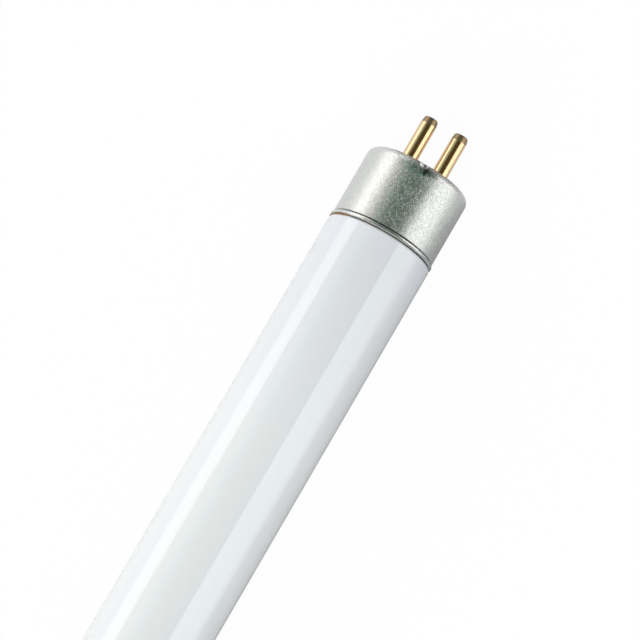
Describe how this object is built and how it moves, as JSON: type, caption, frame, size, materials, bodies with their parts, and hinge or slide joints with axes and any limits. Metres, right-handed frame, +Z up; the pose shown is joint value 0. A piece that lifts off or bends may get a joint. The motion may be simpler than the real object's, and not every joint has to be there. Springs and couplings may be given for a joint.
{
  "type": "fluorescent tube",
  "caption": "Straight white fluorescent tube of small diameter, with an aluminium cap and brass contact pins on each end.",
  "frame": {"origin": "middle of the tube's length, on its axis", "axes": "+X along the tube towards end a, the pins of both ends in the XY plane, +Z up"},
  "size_m": [0.3026, 0.0158, 0.0158],
  "materials": {
    "opal_glass": "gloss",
    "cap_aluminium": "satin",
    "brown_phenolic": "matt",
    "pin_brass": "polished",
    "basing_cement": "matt",
    "lead_nickel": "satin"
  },
  "bodies": {
    "root": {"bulb": "opal_glass", "cap_shell_a": "cap_aluminium", "insulator_a": "brown_phenolic", "cement_ring_a": "basing_cement", "pin_a1": "pin_brass", "lead_wire_a1": "lead_nickel", "pin_a2": "pin_brass", "lead_wire_a2": "lead_nickel", "cap_shell_b": "cap_aluminium", "insulator_b": "brown_phenolic", "cement_ring_b": "basing_cement", "pin_b1": "pin_brass", "lead_wire_b1": "lead_nickel", "pin_b2": "pin_brass", "lead_wire_b2": "lead_nickel"}
  },
  "joints": []
}
